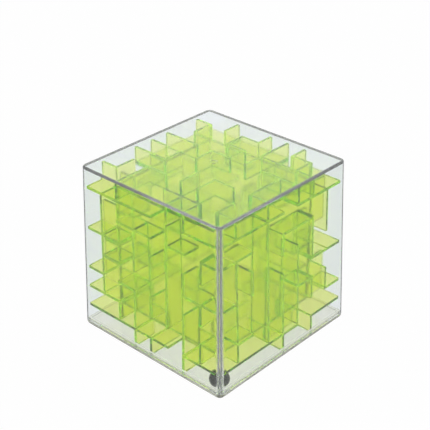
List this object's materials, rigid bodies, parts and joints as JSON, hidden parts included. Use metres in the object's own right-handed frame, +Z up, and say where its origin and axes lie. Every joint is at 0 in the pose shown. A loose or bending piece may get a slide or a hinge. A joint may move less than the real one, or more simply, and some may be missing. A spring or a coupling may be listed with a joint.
{
  "type": "maze ball puzzle",
  "caption": "Clear cube case with a translucent maze on every side of a hollow core, and a loose steel ball that rolls through the channels.",
  "frame": {"origin": "middle of the resting face, under the centre of the cube", "axes": "+Z up through the top face, -Y out of the front side, +X out of the right side"},
  "size_m": [0.061, 0.061, 0.0585],
  "materials": {
    "clear_case": "polished clear polystyrene",
    "clear_base": "polished clear polystyrene",
    "maze": "translucent lime polystyrene",
    "steel": "polished bearing ball"
  },
  "bodies": {
    "cube": {"clear_case": "clear_case", "clear_base": "clear_base", "top_maze_panel": "maze", "bottom_maze_panel": "maze", "front_maze_panel": "maze", "right_maze_panel": "maze", "back_maze_panel": "maze", "left_maze_panel": "maze"},
    "ball": {"steel_ball": "steel"}
  },
  "joints": [
    {"name": "ball_roll", "type": "slide", "parent": "cube", "child": "ball", "axis": [0, 1, 0], "range_m": [0, 0.023]}
  ]
}
